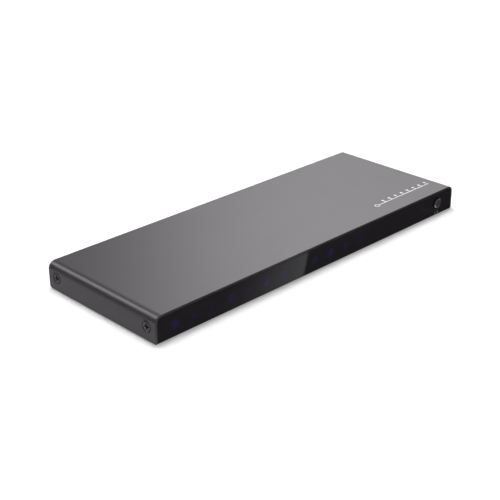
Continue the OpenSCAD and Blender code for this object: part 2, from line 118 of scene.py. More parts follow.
# Sockets: millimetres, and degrees for the slope of the mouth's cut corners. The rolled edge of a mouth is
# given as (how far out, how far back), outside from the shell's outer wall and inside from its inner wall.
MOUTH_W = 14.0
MOUTH_H = 4.55
MOUTH_CUT = 1.85
MOUTH_SLOPE = 45
SHELL_T = 0.35
SHELL_R = 0.45
ROLL_OUTSIDE = ((0, 0.55), (0.06, 0.3), (0.2, 0.06), (0.16, 0))
ROLL_INSIDE = ((0.1, 0), (0.02, 0.1), (0, 0.4))
FINGER_X = 3.4
FINGER_W = 2.2
FINGER_T = 0.2
FINGER_L = 5.5
FINGER_START = 2.6
FINGER_SEAT = 0.06
FINGER_SAG_TOP = -0.5
FINGER_SAG_FLOOR = 0.45
FINGER_STEPS = 10

# Power jack's pin, millimetres
PIN_D = 2.0
PIN_TIP_R = 0.6
PIN_SLIT_W = 0.28
PIN_SLIT_L = 3.5

LAMPS = 12
OUTPUTS = 8

# Prints, millimetres. A numeral stands 0.7 of its font's size high.
PRINT_PROUD = 0.02
PRINT_SUNK = 0.05
PRINT_T = PRINT_PROUD + PRINT_SUNK
DIGIT_SHARE = 0.7
LAMP_MARK = 3.6

# Label under the button, millimetres: its size, its start from the button's axis and the panel's lower edge,
# the steps to its other signs, and the outline of its slash
LABEL = 1.3
LABEL_X = -1.8
LABEL_RISE = 1.5
LABEL_BARS = 3.2
LABEL_SLASH = 1.5
SLASH = ((-0.5, -0.6), (-0.3, -0.6), (0.5, 0.6), (0.3, 0.6))

# Print on the top, millimetres: its start from the cover's front left corner, its lines, ring and ends
TREE_X = 188.0
TREE_Y = 12.6
TREE_LINE = 0.55
TREE_RING_R = 1.5
TREE_LEAD = 1.5
TREE_STEP = 6.05
TREE_TICK = 1.9
TREE_DOT_R = 0.85
TREE_GAP = 0.02

# Prints on the rear, millimetres: the marks over the sockets, and the polarity sign over the jack
REAR_MARK = 1.7
REAR_ARROW = 2.72
POLE_RISE = 0.1
POLE_X = 2.0
POLE_ARM = 0.6
POLE_LINE = 0.24
POLE_RING = (0.5, 0.74)

# Lamps: how brightly each one shows, how far past the seam between two lamps that starts, as a share of
# their pitch, their colour, the haze round each in millimetres, and the levels of haze and mark
LAMP_LEVELS = (1, 0.3, 0.4, 0.8, 0.4, 1, 1, 0.2, 0.8, 0.9, 0.6, 0.4)
LAMP_SEAM = 0.01
LAMP_BLUE = (0.05, 0.045, 1.0, 1)
SPILL_R = 4.2
SPILL_LEVEL = 0.027
MARK_LEVEL = 0.032

# Camera: degrees, and millimetres
CAMERA_AZIMUTH = -44.866
CAMERA_ELEVATION = 25.283
CAMERA_DISTANCE = 632.26
CAMERA_TARGET = (-24.19, -10.78, 8.30)
CAMERA_LENS = 78.80
CAMERA_NEAR = 10.0

PORTS = ["in"] + [str(k) for k in range(1, OUTPUTS + 1)]
RIGHT, BACK, UP = Vector((1, 0, 0)), Vector((0, 1, 0)), Vector((0, 0, 1))
SQUARE = ((-1, -1), (1, -1), (1, 1), (-1, 1))


# Shapes

def camera_place():
    """Where the camera stands, in millimetres."""
    a, e = math.radians(CAMERA_AZIMUTH), math.radians(CAMERA_ELEVATION)
    back = Vector((math.sin(a) * math.cos(e), -math.cos(a) * math.cos(e), math.sin(e)))
    return Vector(CAMERA_TARGET) + back * CAMERA_DISTANCE


def corners(node):
    """Lowest and highest corner of a CAD node, in millimetres."""
    low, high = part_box(node)
    return low / MM, high / MM


def place(across, upward, at):
    """The matrix of a face: local X runs across, local Y upward, and local Z out of the face."""
    turn = Matrix((across, upward, across.cross(upward))).transposed().to_4x4()
    return Matrix.Translation(at) @ turn


def front_face(at):
    return place(RIGHT, UP, at)


def rear_face(at):
    return place(-RIGHT, UP, at)


def top_face(at):
    return place(RIGHT, BACK, at)


def side_face(side, at):
    return place(side * BACK, UP, at)


def arc(centre, radius, start, end, steps):
    """Points of a round stretch from start to end, in degrees."""
    angles = [math.radians(start + (end - start) * k / steps) for k in range(steps + 1)]
    return [(centre[0] + radius * math.cos(a), centre[1] + radius * math.sin(a)) for a in angles]


def arch(x0, x1, z0, z1, radius, steps=20):
    """An open outline up one side, over two round shoulders and down the other side."""
    left = arc((x0 + radius, z1 - radius), radius, 180, 90, steps)
    right = arc((x1 - radius, z1 - radius), radius, 90, 0, steps)
    return [(x0, z0)] + left + right + [(x1, z0)]


def fold(x0, x1, z0, z1, radius, wide, tilt, steps=20, wide_steps=6):
    """An arch whose shoulders start at the top with a few degrees of a wider curve, as on a folded sheet."""
    lean, extra = math.radians(tilt), wide - radius
    inset, z = radius + extra * math.sin(lean), z1 - wide + extra * math.cos(lean)
    left = arc((x0 + radius, z), radius, 180, 90 + tilt, steps)
    left += arc((x0 + inset, z1 - wide), wide, 90 + tilt, 90, wide_steps)[1:]
    right = arc((x1 - inset, z1 - wide), wide, 90, 90 - tilt, wide_steps)[:-1]
    right += arc((x1 - radius, z), radius, 90 - tilt, 0, steps)
    return [(x0, z0)] + left + right + [(x1, z0)]


def rounded(points, radius, steps=4):
    """A closed outline with each corner made round."""
    found = []
    for k, point in enumerate(points):
        here = Vector(point)
        a = (Vector(points[k - 1]) - here).normalized()
        b = (Vector(points[(k + 1) % len(points)]) - here).normalized()
        half = a.angle(b) / 2
        start, end = here + a * radius / math.tan(half), here + b * radius / math.tan(half)
        centre = here + (a + b).normalized() * radius / math.sin(half)
        for j in range(steps + 1):
            swing = (start - centre).lerp(end - centre, j / steps).normalized() * radius
            found.append(tuple(centre + swing))
    return found


def lifted(outline, height, matrix):
    """A flat outline as points in space, at a height over the face that the matrix gives."""
    return [matrix @ Vector((u, v, height)) for u, v in outline]


def loft(bm, rings, around=True, wrap=False):
    """Skins rings of points. Each ring is closed if around, and the last joins the first if wrap."""
    rows = [[bm.verts.new(p) for p in ring] for ring in rings]
    pairs = list(zip(rows, rows[1:])) + ([(rows[-1], rows[0])] if wrap else [])
    for a, b in pairs:
        for k in range(len(a) if around else len(a) - 1):
            n = (k + 1) % len(a)
            bm.faces.new((a[k], a[n], b[n], b[k]))
    if not around:
        bm.faces.new([row[0] for row in rows])
        bm.faces.new([row[-1] for row in rows])
    elif not wrap:
        bm.faces.new(rows[0])
        bm.faces.new(rows[-1])


def prism(bm, outline, low, high, matrix):
    loft(bm, [lifted(outline, low, matrix), lifted(outline, high, matrix)])


def lathe(bm, profile, matrix, steps=64, wrap=False):
    """Turns a profile of (radius, height) about local Z."""
    turn = [2 * math.pi * k / steps for k in range(steps)]
    loft(bm, [[matrix @ Vector((r * math.cos(a), r * math.sin(a), h)) for a in turn] for r, h in profile],
         wrap=wrap)


def spokes(outline, centre, steps):
    """The outline's points and one more on each of some even rays from the centre, in the order of their
    angles, and the angles."""
    middle = Vector(centre)
    rim = [Vector(p) - middle for p in outline]
    found = [(math.atan2(p.y, p.x), p) for p in rim]
    for k in range(steps):
        angle = math.pi * (2 * k / steps - 1)
        ray = Vector((math.cos(angle), math.sin(angle)))
        for a, b in zip(rim, rim[1:] + rim[:1]):
            side_a, side_b = ray.x * a.y - ray.y * a.x, ray.x * b.y - ray.y * b.x
            if side_a * side_b < 0:
                hit = a.lerp(b, side_a / (side_a - side_b))
                if hit.dot(ray) > 0:
                    found.append((angle, hit))
    found.sort(key=lambda pair: pair[0])
    return [tuple(middle + p) for _, p in found], [angle for angle, _ in found]


def ribbon(points, width):
    """The outline of a stroke of even width along an open line."""
    line = [Vector(p) for p in points]
    sides = []
    for k, p in enumerate(line):
        ahead = (line[min(k + 1, len(line) - 1)] - line[max(k - 1, 0)]).normalized()
        sides.append((p, Vector((-ahead.y, ahead.x)) * width / 2))
    return [tuple(p + s) for p, s in sides] + [tuple(p - s) for p, s in reversed(sides)]


def bar(u0, u1, v0, v1):
    return [(u0, v0), (u1, v0), (u1, v1), (u0, v1)]


# Making pieces

def sealed(bm):
    """Joins points that meet and turns every face outward."""
    bmesh.ops.remove_doubles(bm, verts=bm.verts, dist=JOIN_GAP)
    bmesh.ops.recalc_face_normals(bm, faces=bm.faces)
    return bm


def loose_object(name, bm):
    mesh = bpy.data.meshes.new(name)
    bm.to_mesh(mesh)
    bm.free()
    made = bpy.data.objects.new(name, mesh)
    bpy.context.scene.collection.objects.link(made)
    return made


def carved(bm, cutter):
    """The shape with the cutter's shape taken out of it."""
    body, tool = loose_object("carved_body", sealed(bm)), loose_object("carving_tool", sealed(cutter))
    cut = body.modifiers.new("cut", "BOOLEAN")
    cut.object = tool
    cut.operation = "DIFFERENCE"
    cut.solver = "EXACT"
    seen = body.evaluated_get(bpy.context.evaluated_depsgraph_get())
    left = bmesh.new()
    left.from_mesh(seen.to_mesh())
    for gone in (body, tool):
        bpy.data.objects.remove(gone)
    return left


def soften(piece, width):
    """Breaks a piece's sharp edges, as a tool or a mould leaves them."""
    edge = piece.modifiers.new("soft edges", "BEVEL")
    edge.width = width * MM
    edge.segments = 2
    edge.limit_method = "ANGLE"
    edge.angle_limit = math.radians(SHARP_TURN)
    edge.use_clamp_overlap = True
    even = piece.modifiers.new("even shading", "WEIGHTED_NORMAL")
    even.keep_sharp = True


def make(name, bm, finish, body="housing", replaces=(), soft=0.0):
    """Makes a piece from millimetres, gives it a finish, and lets it ride on a body."""
    sealed(bm)
    bmesh.ops.scale(bm, vec=(MM, MM, MM), verts=bm.verts)
    piece = loose_object(name, bm)
    piece.data.materials.append(finish)
    for face in piece.data.polygons:
        face.use_smooth = True
    piece.data.set_sharp_from_angle(angle=math.radians(SHARP_TURN))
    if soft:
        soften(piece, soft)
    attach(piece, body)
    if replaces:
        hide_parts(*replaces)
    return piece


# Finishes

# The stretch of a noise's values that a finish uses, and how much wider than the grain the clouds in its
# gloss are
NOISE_LOW = 0.3
NOISE_HIGH = 0.7
CLOUD = 40


def set_range(node, from_min, from_max, to_min, to_max):
    """Sets the limits of a Map Range node."""
    limits = {"From Min": from_min, "From Max": from_max, "To Min": to_min, "To Max": to_max}
    for name, value in limits.items():
        node.inputs[name].default_value = value


class Finish:
    """One shader with textures in the object's own space, sized in millimetres."""

    def __init__(self, name, colour, roughness, metallic=0.0):
        self.material = bpy.data.materials.new(name)
        self.material.use_nodes = True
        self.nodes = self.material.node_tree.nodes
        self.links = self.material.node_tree.links
        self.shader = self.nodes["Principled BSDF"]
        self.set("Base Color", (*colour, 1))
        self.set("Roughness", roughness)
        self.set("Metallic", metallic)
        self.where = self.nodes.new("ShaderNodeTexCoord").outputs["Object"]
        self.normal = None

    def set(self, socket, value):
        self.shader.inputs[socket].default_value = value

    def scaled(self, size, stretch):
        """Object space in which one unit is the given number of millimetres, longer where stretched."""
        mapping = self.nodes.new("ShaderNodeMapping")
        mapping.inputs["Scale"].default_value = [1 / (size * MM * s) for s in stretch]
        self.links.new(self.where, mapping.inputs["Vector"])
        return mapping.outputs["Vector"]

    def noise(self, size, detail=3.0, stretch=(1, 1, 1)):
        node = self.nodes.new("ShaderNodeTexNoise")
        node.inputs["Scale"].default_value = 1.0
        node.inputs["Detail"].default_value = detail
        self.links.new(self.scaled(size, stretch), node.inputs["Vector"])
        return node.outputs["Fac"]

    def cells(self, size):
        node = self.nodes.new("ShaderNodeTexVoronoi")
        node.inputs["Scale"].default_value = 1.0
        self.links.new(self.scaled(size, (1, 1, 1)), node.inputs["Vector"])
        return node.outputs["Distance"]

    def maths(self, operation, *values):
        """One sum on numbers or on other nodes' outputs."""
        node = self.nodes.new("ShaderNodeMath")
        node.operation = operation
        for socket, value in zip(node.inputs, values):
            if isinstance(value, bpy.types.NodeSocket):
                self.links.new(value, socket)
            else:
                socket.default_value = value
        return node.outputs["Value"]

    def ranged(self, fac, from_min, from_max, to_min, to_max, way="LINEAR"):
        node = self.nodes.new("ShaderNodeMapRange")
        node.interpolation_type = way
        set_range(node, from_min, from_max, to_min, to_max)
        self.links.new(fac, node.inputs["Value"])
        return node.outputs["Result"]

    def ramp(self, fac, stops, way="LINEAR"):
        """Colours along a texture, as (place, colour) stops."""
        node = self.nodes.new("ShaderNodeValToRGB")
        node.color_ramp.interpolation = way
        for k, (spot, colour) in enumerate(stops):
            stop = node.color_ramp.elements[k] if k < 2 else node.color_ramp.elements.new(spot)
            stop.position = spot
            stop.color = (*colour, 1)
        self.links.new(fac, node.inputs["Fac"])
        return node.outputs["Color"]

    def colour(self, fac, dark, light, low=NOISE_LOW, high=NOISE_HIGH):
        self.links.new(self.ramp(fac, [(low, dark), (high, light)]), self.shader.inputs["Base Color"])

    def roughness(self, fac, low, high):
        level = self.ranged(fac, NOISE_LOW, NOISE_HIGH, low, high)
        self.links.new(level, self.shader.inputs["Roughness"])

    def bump(self, fac, depth):
        """Relief of the given depth in millimetres, over any relief that is there already."""
        node = self.nodes.new("ShaderNodeBump")
        node.inputs["Strength"].default_value = 1.0
        node.inputs["Distance"].default_value = depth * MM
        self.links.new(fac, node.inputs["Height"])
        if self.normal:
            self.links.new(self.normal, node.inputs["Normal"])
        self.normal = node.outputs["Normal"]
        self.links.new(self.normal, self.shader.inputs["Normal"])


def tint(colour, factor):
    return tuple(c * factor for c in colour)


def grained(name, colour, roughness, size, depth, metallic=0.0, spread=0.12, rough_spread=0.06,
            stretch=(1, 1, 1)):
    """A finish with a fine grain in its colour, gloss and relief. Size and depth are the grain's, in
    millimetres."""
    made = Finish(name, colour, roughness, metallic)
    grain = made.noise(size, stretch=stretch)
    cloud = made.noise(size * CLOUD)
    made.colour(grain, tint(colour, 1 - spread), tint(colour, 1 + spread))
    made.roughness(cloud, roughness - rough_spread, roughness + rough_spread)
    made.bump(grain, depth)
    return made


def cover_paint():
    made = grained("satin gunmetal coat", (0.0228, 0.0198, 0.0228), 0.36, 0.3, 0.003, spread=0.08,
                   rough_spread=0.008)
    made.set("Specular Tint", (1.0, 0.92, 1.0, 1))
    return made


def tray_paint():
    return grained("satin tray coat", (0.045, 0.0438, 0.046), 0.42, 0.3, 0.004, spread=0.08,
                   rough_spread=0.03)


def lamp_places():
    """Where the lamps shine through the panel, in millimetres."""
    low, high = corners("light_pipes")
    side = high.z - low.z
    pitch = (high.x - low.x - side) / (LAMPS - 1)
    return [(low.x + side / 2 + k * pitch, (low.z + high.z) / 2) for k in range(LAMPS)]


def lamp_row(made):
    """A place in the object's space, how far it lies along the row of lamps, and the level of its lamp."""
    places = lamp_places()
    half = (places[1][0] - places[0][0]) / 2
    split = made.nodes.new("ShaderNodeSeparateXYZ")
    made.links.new(made.where, split.inputs["Vector"])
    along = made.ranged(split.outputs["X"], (places[0][0] - half) * MM, (places[-1][0] + half) * MM, 0, 1)
    stops = [((k + LAMP_SEAM) / LAMPS, (v, v, v)) for k, v in enumerate(LAMP_LEVELS)]
    lit = made.ramp(along, stops, "CONSTANT")
    return split, along, lit


def lamp_light(made, level):
    made.links.new(level, made.shader.inputs["Emission Strength"])
    made.set("Emission Color", LAMP_BLUE)


def lamp_spill(made):
    """A faint blue haze in the panel round each lamp, brighter where a lamp is lit."""
    places = lamp_places()
    pitch = places[1][0] - places[0][0]
    split, along, lit = lamp_row(made)
    within = made.maths("FRACT", made.maths("MULTIPLY", along, LAMPS))
    across = made.maths("MULTIPLY_ADD", within, pitch, -pitch / 2)
    upward = made.maths("MULTIPLY_ADD", split.outputs["Z"], 1 / MM, -places[0][1])
    squares = [made.maths("POWER", side, 2) for side in (across, upward)]
    away = made.maths("SQRT", made.maths("ADD", *squares))
    haze = made.ranged(away, SPILL_R, 0, 0, SPILL_LEVEL, "SMOOTHSTEP")
    lamp_light(made, made.maths("MULTIPLY", haze, lit))


def gloss_black():
    made = Finish("polished smoked acrylic", (0.006, 0.0035, 0.0065), 0.03)
    haze = made.noise(22, detail=5)
    made.roughness(haze, 0.02, 0.045)
    made.colour(haze, (0.0055, 0.0031, 0.006), (0.0065, 0.0039, 0.007))
    made.bump(made.noise(60, detail=1), 0.004)
    lamp_spill(made)
    return made


def foam_tape():
    return grained("foam tape", (0.02, 0.02, 0.021), 0.85, 0.25, 0.03, spread=0.3)


def black_zinc():
    return grained("black zinc plate", (0.085, 0.083, 0.086), 0.42, 0.12, 0.002, metallic=1.0, spread=0.15)


def bright_steel():
    return grained("bright plate", (0.6, 0.59, 0.57), 0.27, 0.1, 0.002, metallic=1.0, spread=0.08)


def foot_rubber():
    return grained("matt rubber", (0.018, 0.018, 0.019), 0.8, 0.2, 0.02, spread=0.25)


def white_plastic():
    return grained("white moulding", (0.74, 0.74, 0.72), 0.45, 0.3, 0.003, spread=0.03)


def clear_plastic():
    made = Finish("clear moulding", (0.9, 0.93, 0.96), 0.1)
    made.set("Transmission Weight", 0.85)
    made.set("IOR", 1.49)
    haze = made.noise(2.5)
    made.roughness(haze, 0.05, 0.18)
    made.bump(haze, 0.004)
    return made


# Black moulding of the button's body. Part of its darkness is painted shade, standing in for the shadow on
# the button's side wall.
def button_finish():
    return grained("satin black moulding and painted shade", (0.012, 0.012, 0.0125), 0.3, 0.15, 0.002, spread=0.1,
                   rough_spread=0.04)


def face_plate():
    return grained("dark chrome", (0.3, 0.29, 0.3), 0.16, 0.15, 0.0012, metallic=1.0, spread=0.05,
                   rough_spread=0.04)


def black_plastic():
    return grained("black moulding", (0.014, 0.014, 0.015), 0.46, 0.25, 0.004, spread=0.2)


def board_laminate():
    made = Finish("solder mask", (0.02, 0.11, 0.05), 0.38)
    tracks = made.noise(1.6, detail=0, stretch=(1, 9, 1))
    made.colour(tracks, (0.012, 0.075, 0.034), (0.028, 0.15, 0.066), 0.47, 0.53)
    made.roughness(made.noise(6), 0.3, 0.46)
    made.bump(tracks, 0.02)
    return made


def socket_shell():
    return grained("nickel plate", (0.62, 0.6, 0.56), 0.26, 0.14, 0.0015, metallic=1.0, spread=0.06,
                   stretch=(1, 12, 1))


def contact_gold():
    return grained("gold flash", (0.83, 0.6, 0.24), 0.25, 0.1, 0.001, metallic=1.0, spread=0.06)


def jack_metal():
    return grained("nickel plated brass", (0.66, 0.63, 0.57), 0.24, 0.12, 0.0015, metallic=1.0, spread=0.06)


def chip_black():
    return grained("moulded epoxy", (0.014, 0.014, 0.015), 0.55, 0.08, 0.006, spread=0.35)


def thermal_pad():
    return grained("soft pad", (0.2, 0.25, 0.32), 0.75, 0.4, 0.02, spread=0.12)


def sink_metal():
    return grained("anodised aluminium", (0.2, 0.2, 0.21), 0.4, 0.16, 0.002, metallic=1.0, spread=0.1,
                   stretch=(1, 14, 1))


def inductor_grey():
    made = Finish("pressed iron powder", (0.055, 0.055, 0.06), 0.7)
    grit = made.cells(0.22)
    made.colour(grit, (0.035, 0.035, 0.038), (0.08, 0.08, 0.086), 0.1, 0.8)
    made.roughness(made.noise(1.2), 0.6, 0.8)
    made.bump(grit, 0.02)
    return made


def capacitor_can():
    return grained("bright can", (0.62, 0.62, 0.62), 0.3, 0.12, 0.001, metallic=1.0, spread=0.05,
                   stretch=(1, 1, 10))


def white_print():
    return grained("white print", (0.82, 0.82, 0.82), 0.5, 0.12, 0.002, spread=0.04)


def grey_print():
    return grained("grey print", (0.32, 0.32, 0.325), 0.45, 0.12, 0.002, spread=0.06)


def lamp_print():
    """Marks in the panel that a blue lamp lights faintly from behind."""
    made = Finish("lit blue mark", (0.006, 0.006, 0.02), 0.05)
    made.colour(made.noise(0.9), (0.004, 0.004, 0.014), (0.008, 0.008, 0.026))
    lit = lamp_row(made)[2]
    lamp_light(made, made.maths("MULTIPLY", lit, MARK_LEVEL))
    return made


SLOT_FINISHES = [
    cover_paint, tray_paint, gloss_black, foam_tape, black_zinc, bright_steel, foot_rubber, white_plastic,
    clear_plastic, button_finish, black_plastic, board_laminate, socket_shell, contact_gold, jack_metal,
    chip_black, thermal_pad, sink_metal, inductor_grey, capacitor_can,
]
FINISH = {make_finish.__name__: make_finish().material for make_finish in SLOT_FINISHES}
WHITE_PRINT = white_print().material
GREY_PRINT = grey_print().material
LAMP_PRINT = lamp_print().material
PLATE = face_plate().material


# CAD pieces that stay: a finish for each, and the edges that a real piece has, in millimetres. Faces that
# turn by less than a degree count as flat.

SOFT_EDGES = {"base_tray": 0.3, "rubber_feet": 0.15, "jack_body": 0.2, "hdmi_contacts": 0.03}
SOFT_DEFAULT = 0.1
WELD_GAP = 0.002
FLAT_TURN = 1


def dress_cad_nodes():
    for part in frame["record"]["subparts"]:
        node = frame["nodes"][part["node"]]
        node.data.materials.clear()
        node.data.materials.append(FINISH[part["material_slot"]])
        join = node.modifiers.new("join", "WELD")
        join.merge_threshold = WELD_GAP * MM
        flat = node.modifiers.new("flat faces", "DECIMATE")
        flat.decimate_type = "DISSOLVE"
        flat.angle_limit = math.radians(FLAT_TURN)
        soften(node, SOFT_EDGES.get(part["node"], SOFT_DEFAULT))


# Cover

def screw_places():
    """Each side screw as (side of the body, Y, Z)."""
    low, high = corners("side_screws")
    reach = SCREW_HEAD_D / 2
    return [(side, y, (low.z + high.z) / 2) for side in (-1, 1) for y in (low.y + reach, high.y - reach)]


def cover():
    low, high = corners("top_cover")
    outer = fold(low.x, high.x, low.z, high.z, BEND_R, BEND_START_R, BEND_START)
    inner = fold(low.x + COVER_T, high.x - COVER_T, low.z, high.z - COVER_T, BEND_R - COVER_T,
                 BEND_START_R - COVER_T, BEND_START)
    front, rear = front_face((0, low.y, 0)), front_face((0, high.y, 0))
    sheet = [lifted(outer, 0, front), lifted(outer, 0, rear)]
    sheet += [lifted(inner, 0, rear), lifted(inner, 0, front)]
    deep = COVER_T + CUT_OVER
    sink = [(0, -deep), (SINK_D / 2 - deep, -deep), (SINK_D / 2 + CUT_OVER, CUT_OVER), (0, CUT_OVER)]
    r = FLANGE_CORNER_R
    corner = arc((-r, r), r, -90, 0, 10) + [(CUT_OVER, r), (CUT_OVER, -CUT_OVER), (-r, -CUT_OVER)]
    bm, tool = bmesh.new(), bmesh.new()
    loft(bm, sheet, around=False, wrap=True)
    for side, y, z in screw_places():
        lathe(tool, sink, side_face(side, (side * high.x, y, z)), steps=96)
    prism(tool, corner, low.x - CUT_OVER, high.x + CUT_OVER, side_face(1, (0, high.y, low.z)))
    make("cover_shell", carved(bm, tool), FINISH["cover_paint"], replaces=["top_cover"],
         soft=EDGE_SOFT)


def cross(length, width):
    """Outline of a cross with two bars of the given length and width."""
    reach, half = length / 2, width / 2
    quarter = [(reach, -half), (reach, half), (half, half)]
    turned = [(1, 0, 0, 1), (0, -1, 1, 0), (-1, 0, 0, -1), (0, 1, -1, 0)]
    return [(a * u + b * v, c * u + d * v) for a, b, c, d in turned for u, v in quarter]


def cover_screws():
    edge = corners("top_cover")[1].x
    head, shank = SCREW_SHOWN_D / 2, SCREW_SHANK_D / 2
    top = [(0, 0), (head - SCREW_EDGE_W, 0), (head, -SCREW_EDGE_H), (head, -SCREW_RIM)]
    stem = [(shank, shank - head - SCREW_RIM), (shank, SCREW_TIP - SCREW_L), (shank - SCREW_TIP, -SCREW_L)]
    bm, tool = bmesh.new(), bmesh.new()
    for side, y, z in screw_places():
        face = side_face(side, (side * edge, y, z)) @ Matrix.Translation((0, 0, -SCREW_SUNK))
        lathe(bm, top + stem + [(0, -SCREW_L)], face, steps=72)
        arm = face @ Matrix.Rotation(math.radians(CROSS_TURN), 4, "Z")
        loft(tool, [lifted(cross(CROSS_L, CROSS_W), CROSS_OVER, arm),
                    lifted(cross(CROSS_FLOOR_L, CROSS_FLOOR_W), -CROSS_DEPTH, arm)])
    make("cover_screws", carved(bm, tool), FINISH["black_zinc"],
         replaces=["side_screws"], soft=SCREW_SOFT)


# Front panel, its marks and its button

def front_panel():
    low, high = corners("front_panel")
    button_low, button_high = corners("push_button")
    axis = ((button_low.x + button_high.x) / 2, (button_low.z + button_high.z) / 2)
    hole = BUTTON_D / 2 + BUTTON_GAP
    outline, angles = spokes(arch(low.x, high.x, low.z, high.z, PANEL_CORNER_R), axis, 96)
    face, back = front_face((0, low.y, 0)), low.y - high.y

    def ring(radius, height):
        circle = [(axis[0] + radius * math.cos(a), axis[1] + radius * math.sin(a)) for a in angles]
        return lifted(circle, height, face)

    bm = bmesh.new()
    loft(bm, [lifted(outline, back, face), lifted(outline, 0, face), ring(hole + PANEL_BEVEL, 0),
              ring(hole, -PANEL_BEVEL), ring(hole, back)], wrap=True)
    make("panel_lens", bm, FINISH["gloss_black"], replaces=["front_panel"],
         soft=PANEL_SOFT)


def push_button():
    """A black body with a plated face, dished and round at its rim. The body's black is partly painted
    shade: it also stands in for the shadow on the button's side wall.
    """
    low, high = corners("push_button")
    front = front_face(((low.x + high.x) / 2, low.y, (low.z + high.z) / 2))
    r, collar, back = BUTTON_D / 2, (high.x - low.x) / 2, high.y - low.y
    collar_edge = [(r, COLLAR_T - COLLAR_BACK), (collar, COLLAR_T - COLLAR_BACK), (collar, -COLLAR_BACK)]
    stem = [(STEM_D / 2, -COLLAR_BACK), (STEM_D / 2, -back), (STEM_BORE_D / 2, -back),
            (STEM_BORE_D / 2, STEM_BORE_L - back), (0, STEM_BORE_L - back)]
    bm = bmesh.new()
    lathe(bm, [(0, -FACE_T), (r, -FACE_T)] + collar_edge + stem, front, steps=96)
    make("button_cap", bm, FINISH["button_finish"], body="button",
         replaces=["push_button"], soft=BUTTON_SOFT)
    flat = r - RIM_R * math.sin(math.radians(RIM_TURN))
    dish = flat - DISH_RIM
    shares = [k / DISH_STEPS for k in range(DISH_STEPS + 1)]
    hollow = [(dish * share, DISH_DEPTH * (share ** 2 - 1)) for share in shares]
    rim = arc((flat, -RIM_R), RIM_R, 90, 90 - RIM_TURN, RIM_STEPS)
    bm = bmesh.new()
    lathe(bm, hollow + rim + [(r, -FACE_T), (0, -FACE_T)], front, steps=96)
    make("button_face", bm, PLATE, body="button")


def digit(bm, text, height, matrix):
    """A plain numeral, printed on the face that the matrix gives, its middle at the matrix's origin."""
    curve = bpy.data.curves.new("numeral", "FONT")
    curve.body = text
    curve.size = height / DIGIT_SHARE
    curve.extrude = PRINT_T / 2
    shown = bpy.data.objects.new("numeral", curve)
    bpy.context.scene.collection.objects.link(shown)
    mesh = shown.evaluated_get(bpy.context.evaluated_depsgraph_get()).to_mesh()
    points = [v.co for v in mesh.vertices]
    middle = Vector([(min(p[k] for p in points) + max(p[k] for p in points)) / 2 for k in range(3)])
    mesh.transform(matrix @ Matrix.Translation(Vector((0, 0, PRINT_PROUD - PRINT_T / 2)) - middle))
    bm.from_mesh(mesh)
    bpy.data.objects.remove(shown)


def strokes(bm, outlines, matrix):
    """Flat outlines, printed on the face that the matrix gives."""
    for outline in outlines:
        prism(bm, outline, -PRINT_SUNK, PRINT_PROUD, matrix)


def ring_print(bm, inner, outer, matrix, steps):
    """A printed ring about the matrix's origin."""
    band = [(inner, -PRINT_SUNK), (outer, -PRINT_SUNK), (outer, PRINT_PROUD), (inner, PRINT_PROUD)]
    lathe(bm, band, matrix, steps, wrap=True)


def power_mark(size):
    """An open ring and a bar, drawn in shares of the mark's size."""
    ring = arc((0, -0.08 * size), 0.36 * size, 125, 415, 24)
    return [ribbon(ring, 0.13 * size), bar(-0.065 * size, 0.065 * size, 0.05 * size, 0.5 * size)]


def arrow_mark(size):
    """A shaft and a head, drawn in shares of the mark's size."""
    neck, shaft, head, tip = 0.05 * size, 0.14 * size, 0.36 * size, 0.5 * size
    return [bar(-tip, neck, -shaft, shaft), [(neck, -head), (tip, 0), (neck, head)]]


def bars_mark(count, size):
    """Upright bars side by side, drawn in shares of the mark's size."""
    step, thick, half = 0.42 * size, 0.1 * size, 0.5 * size
    middles = [(k - (count - 1) / 2) * step for k in range(count)]
    return [bar(x - thick, x + thick, -half, half) for x in middles]


def lamp_marks():
    """A mark before each lamp: a power sign, an arrow, the numbers of the outputs, and bars for the rest."""
    front = corners("front_panel")[0].y
    bm = bmesh.new()
    for k, (x, z) in enumerate(lamp_places()):
        face = front_face((x, front, z))
        if k == 0:
            strokes(bm, power_mark(LAMP_MARK), face)
        elif k == 1:
            strokes(bm, arrow_mark(LAMP_MARK), face)
        elif k < 2 + OUTPUTS:
            digit(bm, str(k - 1), LAMP_MARK, face)
        else:
            strokes(bm, bars_mark(k - 1 - OUTPUTS, LAMP_MARK), face)
    make("lamp_marks", bm, LAMP_PRINT)


def button_mark():
    """Plain signs under the button: one bar, a slash and two bars."""
    low, high = corners("push_button")
    panel = corners("front_panel")[0]
    at = Vector(((low.x + high.x) / 2 + LABEL_X, panel.y, panel.z + LABEL_RISE))
    bm = bmesh.new()
    strokes(bm, bars_mark(1, LABEL), front_face(at))
    strokes(bm, bars_mark(2, LABEL), front_face(at + LABEL_BARS * RIGHT))
    strokes(bm, [SLASH], front_face(at + LABEL_SLASH * RIGHT))
    make("button_mark", bm, GREY_PRINT)


# Print on the top

def top_print():
    """A ring and one line that feeds eight ends."""
    low, high = corners("top_cover")
    face = top_face((low.x + TREE_X, low.y + TREE_Y, high.z))
    half, ring = TREE_LINE / 2, TREE_RING_R
    start = 2 * ring + TREE_LEAD
    dot = arc((0, TREE_TICK + TREE_DOT_R), TREE_DOT_R, 0, 345, 23)
    bm = bmesh.new()
    ring_print(bm, ring - half, ring + half, face @ Matrix.Translation((ring, 0, 0)), steps=32)
    strokes(bm, [bar(2 * ring + half, start + OUTPUTS * TREE_STEP, -half, half)], face)
    for k in range(OUTPUTS):
        at = face @ Matrix.Translation((start + (k + 1) * TREE_STEP - half, 0, 0))
        strokes(bm, [bar(-half, half, half + TREE_GAP, TREE_TICK), dot], at)
    make("top_print", bm, WHITE_PRINT)


# Rear sockets and their prints

